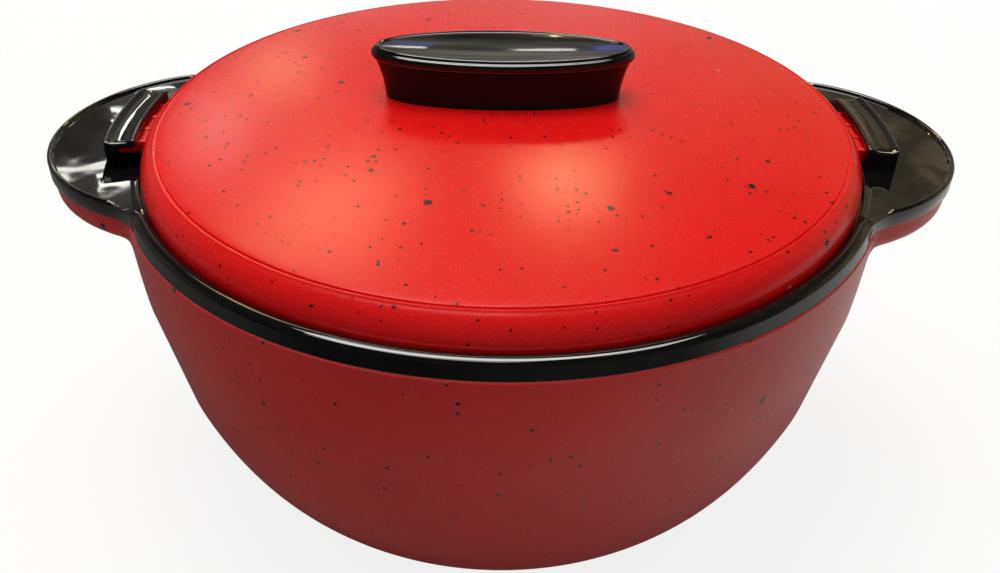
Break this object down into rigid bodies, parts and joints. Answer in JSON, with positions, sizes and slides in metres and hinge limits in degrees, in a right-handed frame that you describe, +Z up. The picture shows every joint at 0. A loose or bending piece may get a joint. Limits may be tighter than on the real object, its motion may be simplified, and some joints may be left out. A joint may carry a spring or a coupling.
{
  "type": "insulated casserole",
  "caption": "Round insulated serving casserole with ear handles, a steel-lined foam-filled bowl and a domed lid that turns to lock under hooded catches.",
  "frame": {"origin": "centre of the foot, on the surface that the casserole stands on", "axes": "+Z up along the bowl's axis, +X towards the right ear handle as pictured, -Y towards the viewer"},
  "size_m": [0.321, 0.263, 0.1655],
  "materials": {
    "red_bowl": "satin",
    "red_lid": "satin",
    "black_gloss": "gloss",
    "black_matte": "satin",
    "steel": "satin",
    "screw_steel": "satin",
    "foam": "matte",
    "silicone": "matte"
  },
  "bodies": {
    "base": {"outer_bowl": "red_bowl", "base_plug": "black_matte", "bowl_foam": "foam", "inner_bowl": "steel", "rim_ring": "black_gloss", "left_ear_screws": "screw_steel", "right_ear_screws": "screw_steel"},
    "lid": {"lid_shell": "red_lid", "lid_plug": "black_matte", "lid_foam": "foam", "lid_liner": "steel", "lid_gasket": "silicone", "knob_body": "black_matte", "knob_cap": "black_gloss", "knob_screws": "screw_steel", "knob_washers": "screw_steel"}
  },
  "joints": [
    {"name": "lid_turn", "type": "hinge", "parent": "base", "child": "lid", "pos_m": [0, 0, 0.131], "axis": [0, 0, 1], "range_deg": [0, 18]}
  ]
}
